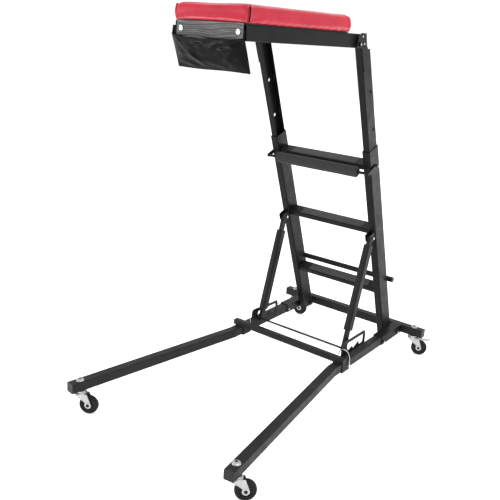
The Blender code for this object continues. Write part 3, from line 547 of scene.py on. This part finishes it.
def build_casters():
    tyre = []
    for k in range(19):                        # rounded tread with a shallow shoulder groove
        a = pi * k / 18
        tyre.append((WHEEL_RADIUS - 3.2 + 3.2 * sin(a) ** 0.8, -10.6 * cos(a)))
    groove = [(r - (0.9 if abs(abs(z) - 6.2) < 0.9 else 0.0), z) for r, z in tyre]
    tyre_ring = [(27.0, -8.6), (30.5, -9.8)] + groove + [(30.5, 9.8), (27.0, 8.6)]
    hub_ring = [(4.4, -12.2), (12.0, -12.2), (14.5, -10.6), (15.5, -6.4), (24.5, -5.6), (25.6, -9.2),
                (27.2, -9.2), (27.2, 9.2), (25.6, 9.2), (24.5, 5.6), (15.5, 6.4), (14.5, 10.6),
                (12.0, 12.2), (4.4, 12.2)]
    for name, (x, y) in caster_places().items():
        yaw = radians(CASTER_YAWS[name])
        trail = Vector((cos(yaw), sin(yaw), 0))
        axle = Vector((-sin(yaw), cos(yaw), 0))
        up = Vector((0, 0, 1))
        centre = at(x, y, WHEEL_RADIUS) + trail * CASTER_TRAIL * MM
        m = placed(centre, trail, up * -1, axle)
        wheel = f"wheel_{name}"
        tread = piece(f"tyre_{name}", lathe([(r * MM, z * MM) for r, z in tyre_ring], 64, closed=True),
                      RUBBER, wheel, m)
        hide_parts(f"caster_wheel_{name}")
        hub = piece(f"hub_{name}", lathe([(r * MM, z * MM) for r, z in hub_ring], 48, closed=True),
                    HUB, wheel, m, angle=30)
        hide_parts(f"caster_wheel_{name}")
        spokes = bmesh.new()
        for k in range(10):
            a = 2 * pi * k / 10
            for z in (-7.4, 7.4):
                rib = bmesh.ops.create_cube(spokes, size=1.0)["verts"]
                bmesh.ops.scale(spokes, vec=(11 * MM, 1.8 * MM, 3.2 * MM), verts=rib)
                bmesh.ops.translate(spokes, vec=(20 * MM, 0, z * MM), verts=rib)
                bmesh.ops.rotate(spokes, matrix=Matrix.Rotation(a, 3, "Z"), verts=rib)
        ribs = piece(f"hub_ribs_{name}", spokes, HUB, wheel, m, smooth=False)
        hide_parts(f"caster_wheel_{name}")
        build_fork(name, x, y, trail, axle, up)


def build_fork(name, x, y, trail, axle, up):
    """Pressed steel fork: domed crown, ball race, flared cheeks with a rolled edge and hub discs."""
    body = f"swivel_{name}"
    m = placed(at(x, y, 0), trail, axle, up)
    bm = bmesh.new()
    inside, thick = 12.8 * MM, 2.4 * MM
    hub_x, hub_z = CASTER_TRAIL * MM, WHEEL_RADIUS * MM
    for sign in (-1, 1):
        rows = []
        for v in range(15):
            t = v / 14
            low_front = Vector((hub_x - 11 * MM, hub_z + 6 * MM))
            low_back = Vector((hub_x + 11.5 * MM, hub_z + 6 * MM))
            top_front = Vector((-23 * MM, 84.5 * MM))
            top_back = Vector((34 * MM, 84.5 * MM))
            ease = t * t * (3 - 2 * t)
            front = top_front.lerp(low_front, t * 0.35 + ease * 0.65)
            back = top_back.lerp(low_back, t * 0.55 + ease * 0.45)
            front.y = top_front.y + (low_front.y - top_front.y) * t
            back.y = top_back.y + (low_back.y - top_back.y) * t
            row = []
            for u in range(9):
                p = front.lerp(back, u / 8)
                press = 1.6 * MM * (1 - abs(u / 4 - 1) ** 4) * sin(pi * min(1, t * 1.15)) ** 0.7
                flange = 1.5 * MM * (abs(u / 4 - 1) ** 8)
                row.append(bm.verts.new((p.x, sign * (inside + press + flange * (1 - t)), p.y)))
            rows.append(row)
        grid_faces(bm, rows)
    cheeks = piece(f"fork_cheeks_{name}", bm, ZINC, None, m)
    solid = cheeks.modifiers.new("plate", "SOLIDIFY")
    solid.thickness = thick
    solid.offset = 0.0
    soft = cheeks.modifiers.new("soft", "SUBSURF")
    soft.levels = soft.render_levels = 1
    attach(cheeks, body)
    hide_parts(f"caster_fork_{name}")

    crown = [(5.2, 84.7), (24.0, 84.7), (26.0, 85.4), (26.3, 87.6), (23.0, 90.6), (5.2, 90.7)]
    top = piece(f"fork_crown_{name}", lathe([(r * MM, z * MM) for r, z in crown], 48, closed=True),
                ZINC, body, m)
    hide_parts(f"caster_fork_{name}")
    for sign, label in ((-1, "a"), (1, "b")):
        side = axle * sign
        hub_at = at(x, y, WHEEL_RADIUS) + trail * CASTER_TRAIL * MM
        face = hub_at + side * 12.4 * MM
        disc = [(13.4, 0.0), (13.6, 1.0), (13.2, 2.2), (9.5, 3.1), (5.6, 3.2)]
        n = placed(face, trail, side.cross(trail), side)
        plate = piece(f"fork_disc_{label}_{name}", lathe([(r * MM, z * MM) for r, z in disc], 40),
                      ZINC, body, n)
        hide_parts(f"caster_fork_{name}")
        nut = hex_bolt(f"axle_nut_{label}_{name}", face + side * 3.2 * MM, side, body, 5.6 * MM, 3.4 * MM,
                       1.15, STEEL_SHADED)
        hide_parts(f"caster_fork_{name}")


def build_stems():
    """Washer and nylon-insert nut on each caster stem, over the tube."""
    washer = [(13.5, 0.0), (13.7, 1.4), (12.8, 2.0), (8.5, 2.0)]
    up = Vector((0, 0, 1))
    for name, (x, y) in caster_places().items():
        m = Matrix.Translation(at(x, y, TUBE_TOP + 0.2))
        plate = lathe([(r * MM, z * MM) for r, z in washer], 48)
        piece(f"stem_washer_{name}", plate, ZINC, "base", m)
        hex_bolt(f"stem_nut_{name}", at(x, y, TUBE_TOP + 1.9), up, "base", 8.6 * MM, 6.6 * MM, 1.08, ZINC)
        dome_bolt(f"stem_insert_{name}", at(x, y, TUBE_TOP + 8.2), up, "base", 5.0 * MM, 1.6 * MM, STEEL_SHADED)


# ---------------------------------------------------------------- ladder dressing

def build_treads():
    """Grit strip on each step, with softly worn corners."""
    for n, level in enumerate(STEP_LEVELS, start=1):
        bm = rounded_box((0.326, 0.046, 0.0011), 0.0005, 2)
        m = placed(on_ladder(6, -0.5, level + 0.75), *LADDER_AXES)
        piece(f"tread_tape_{n}", bm, TAPE, "ladder", m, angle=40)
        lip = rounded_box((0.418, 0.0024, 0.0195), 0.001, 3)
        m = placed(on_ladder(0, -29.2, level - 11), *LADDER_AXES)
        piece(f"tread_lip_{n}", lip, STEEL, "ladder", m)


def build_roll():
    """Foam sleeve with a slightly uneven skin and soft ends."""
    low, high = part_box("shin_roll")
    centre = (low + high) / 2
    half = (high.x - low.x) / 2
    radius = (high.z - low.z) / 2
    bm = bmesh.new()
    rings = []
    steps, count = 48, 90
    for i in range(count + 1):
        x = -half + 2 * half * i / count
        edge = min(half - abs(x), 6 * MM) / (6 * MM)
        r = radius - 0.9 * MM - 2.6 * MM * (1 - sqrt(max(0.0, 1 - (1 - edge) ** 2)))
        row = []
        for k in range(steps):
            a = 2 * pi * k / steps
            lump = noise.noise(Vector((x * 14, cos(a) * 1.3, sin(a) * 1.3)))
            rr = r + lump * 0.7 * MM
            row.append(bm.verts.new((x, rr * cos(a), rr * sin(a))))
        rings.append(row)
    bore = 6.6 * MM
    ends = []
    for x in (half - 0.6 * MM, -half + 0.6 * MM):
        ends.append([bm.verts.new((x, bore * cos(2 * pi * k / steps), bore * sin(2 * pi * k / steps)))
                     for k in range(steps)])
    skin(bm, rings + ends, closed=True)
    roll = piece("foam_sleeve", bm, FOAM, "roll", Matrix.Translation(centre))
    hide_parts("shin_roll")


# ---------------------------------------------------------------- pad

PAD_FRONT, PAD_BACK = -1230.0, -733.0
PAD_FRONT_HALF, PAD_BACK_HALF = 150.0, 224.0
PAD_LOW, PAD_TOP = 1483.0, 1540.0
PAD_SWELL = 8.5                            # how far the pad's sides bulge
CLOTH_FRAMES = 20
CLOTH_CAP = 4.0                            # farthest that the cloth may carry a point


def pad_half(y):
    """Half the pad's width at a distance along it."""
    t = (y - PAD_FRONT) / (PAD_BACK - PAD_FRONT)
    return PAD_FRONT_HALF + (PAD_BACK_HALF - PAD_FRONT_HALF) * t


def build_pad():
    """Upholstered deck pad: inflated as cloth over a flat bottom, then tucked at the corners."""
    inset = 0.5
    bm = bmesh.new()
    levels = (PAD_LOW + 0.8, PAD_TOP - 2.5)
    rows = []
    for z in levels:
        corners = ((-1, PAD_FRONT, inset), (1, PAD_FRONT, inset), (1, PAD_BACK, -inset),
                   (-1, PAD_BACK, -inset))
        rows.append([bm.verts.new(at(s * (pad_half(y) - inset), y + dy, z)) for s, y, dy in corners])
    skin(bm, rows)
    bm.faces.new(rows[0][::-1])
    bm.faces.new(rows[1])
    top_edges = [e for e in bm.edges if all(v.co.z > (PAD_TOP - 20) * MM for v in e.verts)]
    uprights = [e for e in bm.edges if abs(e.verts[0].co.z - e.verts[1].co.z) > 10 * MM]
    bmesh.ops.bevel(bm, geom=uprights + top_edges, offset=8 * MM, segments=4, profile=0.5, affect="EDGES")
    pad = piece("pad_cover", bm, RED, None)
    remesh = pad.modifiers.new("remesh", "REMESH")
    remesh.mode = "VOXEL"
    remesh.voxel_size = 0.0056
    bake(pad)

    floor_z = (PAD_LOW + 2.6) * MM
    rest = [v.co.copy() for v in pad.data.vertices]
    group = pad.vertex_groups.new(name="held")
    held = [v.index for v in pad.data.vertices if v.co.z < floor_z]
    group.add(held, 1.0, "REPLACE")
    cloth = pad.modifiers.new("cloth", "CLOTH")
    settings = cloth.settings
    settings.vertex_group_mass = "held"
    settings.quality = 6
    settings.mass = 0.3
    settings.tension_stiffness = settings.compression_stiffness = 18
    settings.bending_stiffness = 4
    settings.use_pressure = True
    settings.uniform_pressure_force = 3.2
    settings.effector_weights.gravity = 0.0
    cloth.collision_settings.use_collision = False
    scene = bpy.context.scene
    for number in range(1, CLOTH_FRAMES + 1):
        scene.frame_set(number)
    bake(pad)
    scene.frame_set(1)
    cap = CLOTH_CAP * MM
    for v, old in zip(pad.data.vertices, rest):
        move = v.co - old
        if move.length > cap:
            v.co = old + move.normalized() * cap
    shape_pad(pad)
    soft = pad.modifiers.new("soft", "SUBSURF")
    soft.levels = soft.render_levels = 1
    pad.data.shade_smooth()
    pad.data.materials.clear()
    pad.data.materials.append(RED)
    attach(pad, "deck")
    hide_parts("deck_pad")
    build_pad_seams()


def bake(obj):
    """Apply every modifier to the mesh."""
    graph = bpy.context.evaluated_depsgraph_get()
    mesh = bpy.data.meshes.new_from_object(obj.evaluated_get(graph))
    obj.modifiers.clear()
    old = obj.data
    obj.data = mesh
    bpy.data.meshes.remove(old)


def shape_pad(pad):
    """Overhang that grows towards the top, corner darts, drag wrinkles and a soft crown."""
    for v in pad.data.vertices:
        p = (v.co - SHIFT) / MM
        half = pad_half(p.y)
        height = min(1.0, max(0.0, (p.z - PAD_LOW) / (PAD_TOP - PAD_LOW)))
        bulge = sin(pi * min(1.0, 0.12 + height * 0.75)) if height > 0.03 else 0.3
        out = Vector((0, 0, 0))
        out.x = max(-1.0, min(1.0, p.x / half)) ** 5 * (1.0 + PAD_SWELL * bulge)
        back = max(0.0, 1 - (PAD_BACK - p.y) / 90)
        front = max(0.0, 1 - (p.y - PAD_FRONT) / 60)
        out.y = back ** 2 * (2.0 + 13.0 * bulge) - front ** 2 * (0.5 + 3.0 * bulge)
        v.co += out * MM
        if height < 0.03:
            continue
        for s in (-1, 1):              # the cover dips where it is folded round each front corner
            d = hypot(p.x - s * PAD_FRONT_HALF, p.y - PAD_FRONT)
            if height > 0.8 and d < 30:
                v.co.z -= 5.5 * pow(2.718, -(d / 10) ** 2) * MM
        run = p.x if abs(out.y) > abs(out.x) else p.y
        if height < 0.8 and out.length > 1.5:
            wave = noise.noise(Vector((run * 0.035, height * 1.2, 3.1)))
            v.co += out.normalized() * wave * 1.3 * (0.85 - height) * MM
        if height > 0.7:
            v.co.z += 0.8 * noise.noise(Vector((p.x * 0.011, p.y * 0.009, 1.7))) * MM


def build_pad_seams():
    """Folded corner plies, a near-black tube as painted shadow in the right corner's gap, and the stapled hem
    under the pad.
    """
    # the fold ply on the right is a near-black tube of painted shadow in the gap; on the left it takes the
    # red fold vinyl
    plies = (("fold", -0.5, 1.5, 2.0, PAD_GAP_SHADOW), ("ridge", 4.5, 3.6, 2.3, RED),
             ("crease", 10.5, 2.4, 1.2, SEAM))
    for name, inset, ahead, r, mat in plies:
        for side, s in SIDES.items():
            pts = []
            for k in range(30):
                t = k / 29
                z = PAD_LOW + 3 + (PAD_TOP - 8 - PAD_LOW) * t
                swell = PAD_SWELL * sin(pi * min(1.0, 0.12 + t * 0.75))
                curve = 3.0 * (1 - sin(pi * min(1.0, t * 0.94 + 0.06))) * (inset > 0)
                sideways = inset + curve - 0.9 * swell
                forward = ahead + 0.33 * swell - (6.5 if inset < 0 else 0)
                if s < 0:              # the left corner is folded the other way, round its side
                    sideways, forward = -ahead - 0.9 * swell + 2, -inset - 8 + 0.3 * swell
                pts.append(at(s * (PAD_FRONT_HALF - sideways), PAD_FRONT - forward, z))
            skin_mat = SEAM if s < 0 and name == "fold" else mat
            piece(f"pad_{name}_{side}", tube(pts, r * MM, 10), skin_mat, "deck")
    hem = []
    corners = [(-PAD_FRONT_HALF + 5, PAD_FRONT + 5), (PAD_FRONT_HALF - 5, PAD_FRONT + 5),
               (PAD_BACK_HALF - 5, PAD_BACK - 5), (-PAD_BACK_HALF + 5, PAD_BACK - 5)]
    for a, b in zip(corners, corners[1:] + corners[:1]):
        hem += along(at(*a, PAD_LOW + 0.6), at(*b, PAD_LOW + 0.6), 12)
    piece("pad_hem", tube(hem, 1.3 * MM, 8), SEAM, "deck")


# ---------------------------------------------------------------- pouch

def crease(x, z, line, width, depth):
    """Height of a fold that follows a line between two (x, z) points."""
    (x0, z0), (x1, z1) = line
    dx, dz = x1 - x0, z1 - z0
    length = hypot(dx, dz)
    t = ((x - x0) * dx + (z - z0) * dz) / length ** 2
    off = ((x - x0) * dz - (z - z0) * dx) / length
    fade = max(0.0, 1 - abs(2 * min(1.4, max(-0.4, t)) - 1) ** 4 / 3)
    if t < -0.15 or t > 1.15:
        fade = 0.0
    return depth * fade * pow(2.718, -(off / width) ** 2)


POUCH_X = -6.5
POUCH_HALF = 153.5
MOUTH_Z, HEM_Z, BACK_TOP_Z = 1437.5, 1333.5, 1466.0
POUCH_FOLDS = (
    (((-135, 1425), (-40, 1352)), 7, 3.2), (((-120, 1380), (60, 1345)), 9, 2.8),
    (((20, 1412), (110, 1425)), 6, 2.2), (((35, 1392), (120, 1410)), 7, 2.4),
    (((-60, 1410), (30, 1400)), 8, 1.8), (((130, 1425), (60, 1360)), 8, 2.4),
    (((-150, 1360), (-70, 1340)), 6, 2.0), (((80, 1350), (150, 1385)), 7, 2.2),
)


def pouch_front(u, v):
    """Front sheet of the pocket: u runs across from -1 to 1, v from the mouth down to the hem."""
    x = POUCH_X + u * (POUCH_HALF + 0.5 * v)
    mouth_z = MOUTH_Z - 10.5 * (1 - u * u) + 1.2 * sin(5 * u + 0.6)
    low_z = HEM_Z + 1.0 * sin(4 * u)
    z = mouth_z + (low_z - mouth_z) * v
    mouth_y = -1236.5 - 15.0 * (1 - u * u) ** 0.8
    low_y = -1195.5
    y = mouth_y + (low_y - mouth_y) * v ** 0.92
    belly = sin(pi * min(1.0, v * 0.97 + 0.02)) * (1 - u ** 6)
    y -= 11.0 * belly
    fold = sum(crease(x, z, line, width, depth) for line, width, depth in POUCH_FOLDS)
    ripple = noise.noise(Vector((x * 0.03, z * 0.05, 2.0))) * 2.4
    grip = min(1.0, (1 - abs(u)) * 6) * min(1.0, v * 6) * min(1.0, (1 - v) * 7)
    y -= (fold + ripple) * grip
    return Vector((x, y, z))


def pouch_back(u, v):
    """Back sheet: lies over the deck's front rail and hangs down behind the pocket."""
    x = POUCH_X + u * POUCH_HALF
    z = BACK_TOP_Z + (HEM_Z - BACK_TOP_Z) * v
    fall = max(0.0, (1429.0 - z) / (1429.0 - HEM_Z))   # below the deck's front rail
    y = -1231.6 + (-1194.0 + 1231.6) * fall ** 0.9
    y += 5.0 * sin(pi * fall) * (1 - u ** 4)
    return Vector((x, y, z))


def sheet_mesh(place, across, down):
    """Sheet whose points come from place(u, v)."""
    bm = bmesh.new()
    grid_faces(bm, [[bm.verts.new(at(*place(-1 + 2 * i / across, j / down))) for i in range(across + 1)]
                    for j in range(down + 1)])
    return bm


def thicken(obj, mm):
    solid = obj.modifiers.new("thickness", "SOLIDIFY")
    solid.thickness = mm * MM
    solid.offset = 0.0


def gusset(s):
    """Side of the pocket, folded slightly inwards between the front and back sheets."""
    bm = bmesh.new()
    rows = []
    down, across = 26, 6
    for j in range(down + 1):
        v = j / down
        z = BACK_TOP_Z + (HEM_Z - BACK_TOP_Z) * v
        front = pouch_front(s, max(0.0, (MOUTH_Z - z) / (MOUTH_Z - HEM_Z)))
        if z > MOUTH_Z:                        # over the mouth the side leans back to the rail
            lift = (z - MOUTH_Z) / (BACK_TOP_Z - MOUTH_Z)
            front = Vector((front.x, front.y + 4.6 * lift, z))
        back = pouch_back(s, v)
        row = []
        for i in range(across + 1):
            t = i / across
            p = front.lerp(back, t)
            p.z = z
            p.x -= s * 3.0 * sin(pi * t) * sin(pi * min(1.0, v + 0.05))
            row.append(bm.verts.new(at(*p)))
        rows.append(row)
    grid_faces(bm, rows)
    return bm


def flap_shape(u, v):
    """Grey panel on the rail's face, gathered into level wrinkles, tucked into the pocket."""
    x = u * 140.5
    z = 1483.5 - 61.0 * v
    wrinkle = 1.5 * sin(z * 0.42 + 0.9 * noise.noise(Vector((x * 0.012, z * 0.02, 0.4))) * 6)
    wrinkle += 1.4 * noise.noise(Vector((x * 0.02, z * 0.16, 5.0)))
    edge = min(1.0, (1 - abs(u)) * 9) * min(1.0, v * 7)
    return Vector((x, -1234.2 - max(-1.2, wrinkle) * edge, z))


def build_pouch():
    front = piece("pouch_front", sheet_mesh(pouch_front, 120, 48), POUCH, "deck")
    back = piece("pouch_back", sheet_mesh(pouch_back, 60, 40), POUCH, "deck")
    sides = [piece(f"pouch_side_{side}", gusset(s), POUCH, "deck")
             for side, s in SIDES.items()]
    flap = piece("pouch_panel", sheet_mesh(flap_shape, 130, 52), FLAP, "deck")
    for obj, mm in ((front, 1.4), (back, 1.2), (flap, 1.2), (sides[0], 1.2), (sides[1], 1.2)):
        thicken(obj, mm)
        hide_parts("tool_pouch")

    mouth = [at(*(pouch_front(-1 + 2 * k / 60, 0.0) + Vector((0, -0.6, 0)))) for k in range(61)]
    hem = [at(*pouch_front(-1 + 2 * k / 60, 1.0)) for k in range(61)]
    trims = {"pouch_mouth_binding": (mouth, 1.5), "pouch_bottom_binding": (hem, 1.7)}
    for side, s in SIDES.items():
        trims[f"pouch_edge_binding_{side}"] = ([at(*pouch_front(s, k / 30)) for k in range(31)], 1.3)
    for name, (pts, r) in trims.items():
        trim = piece(name, tube(pts, r * MM, 8), POUCH, "deck")
        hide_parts("tool_pouch")
    stitches()
    rim = [(7.2, 0), (8.8, 0), (9.0, 0.8), (8.2, 1.3), (7.2, 1.0)]
    ahead = Vector((0, -1, 0))
    for side, x, z in (("left", -121, 1457.5), ("right", 120, 1456.5)):
        cap = dome_bolt(f"pouch_snap_{side}", at(x, -1235.6, z), ahead, "deck", 7.6 * MM, 3.4 * MM, NICKEL)
        eye_bm = lathe([(r * MM, h * MM) for r, h in rim], 36, closed=True)
        m = placed(at(x, -1235.4, z), Vector((1, 0, 0)), Vector((0, 0, 1)), ahead)
        eye = piece(f"pouch_snap_rim_{side}", eye_bm, NICKEL, "deck", m)
        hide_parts("tool_pouch")
        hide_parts("tool_pouch")


def stitches():
    """Run of thread dashes under the mouth's binding."""
    bm = bmesh.new()
    for k in range(58):
        u = -0.96 + 1.92 * k / 57
        a = pouch_front(u, 0.035)
        b = pouch_front(u + 0.016, 0.035)
        dash = tube([at(*(p + Vector((0, -0.9, 0)))) for p in (a, a.lerp(b, 0.5), b)], 0.4 * MM, 6)
        mesh = bpy.data.meshes.new("dash")
        dash.to_mesh(mesh)
        dash.free()
        bm.from_mesh(mesh)
        bpy.data.meshes.remove(mesh)
    thread = piece("pouch_stitching", bm, THREAD, "deck")
    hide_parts("tool_pouch")


# ---------------------------------------------------------------- studio

def build_studio():
    half = 14.0
    floor = bpy.data.meshes.new("floor")
    floor.from_pydata([(-half, -half, 0), (half, -half, 0), (half, half, 0), (-half, half, 0)], [],
                      [(0, 1, 2, 3)])
    obj = bpy.data.objects.new("floor", floor)
    bpy.context.scene.collection.objects.link(obj)
    m = Mat("studio floor", 0.9)
    m.colour(m.noise(2, 2), [(0.3, (0.955, 0.955, 0.955)), (0.7, (0.965, 0.965, 0.965))])
    # a faint glow keeps the white sweep clear of shadow
    m.shader.inputs["Emission Color"].default_value = (1, 1, 1, 1)
    m.shader.inputs["Emission Strength"].default_value = 0.45
    floor.materials.append(m.mat)
    obj.location.z = cad_low.z - 0.5 * MM

    world = bpy.data.worlds.new("studio")
    bpy.context.scene.world = world
    world.use_nodes = True
    background = world.node_tree.nodes["Background"]
    background.inputs["Color"].default_value = (1, 1, 1, 1)
    background.inputs["Strength"].default_value = 1.08

    middle = (cad_low + cad_high) / 2
    lamps = (("top", (0.2, 0.3, 4.2), 3.0, 78), ("side", (3.6, -0.6, 1.6), 2.6, 15),
             ("low_left", (-2.6, -3.4, -0.35), 1.1, 52), ("low_back", (2.6, 3.6, -0.35), 0.8, 22))
    for name, offset, size, power in lamps:
        light = bpy.data.lights.new(name, "AREA")
        light.energy = power
        light.size = size
        lamp = bpy.data.objects.new(name, light)
        bpy.context.scene.collection.objects.link(lamp)
        lamp.location = middle + Vector(offset)
        lamp.rotation_euler = (middle - lamp.location).to_track_quat("-Z", "Y").to_euler()


def build_camera():
    """Camera to the front right, at the height of the deck and looking down a little."""
    azimuth, elevation, roll = radians(36.27), radians(17.8), radians(3.95)
    forward = Vector((-sin(azimuth) * cos(elevation), cos(azimuth) * cos(elevation), -sin(elevation)))
    level = Vector((cos(azimuth), sin(azimuth), 0))
    above = level.cross(forward)
    right = level * cos(roll) + above * sin(roll)
    up = above * cos(roll) - level * sin(roll)
    data = bpy.data.cameras.new("camera")
    data.sensor_width = 36.0
    data.lens = 47.9
    cam = bpy.data.objects.new("camera", data)
    cam.matrix_world = placed(at(1467, -2930, 1447), right, up, -forward)
    bpy.context.scene.collection.objects.link(cam)
    bpy.context.scene.camera = cam


def main():
    scene = bpy.context.scene
    scene.view_settings.view_transform = "Standard"
    build_camera()
    build_studio()
    finish_nodes()
    build_casters()
    build_stems()
    build_fasteners()
    build_welds()
    build_treads()
    build_roll()
    build_pouch()
    build_pad()
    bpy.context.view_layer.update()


main()
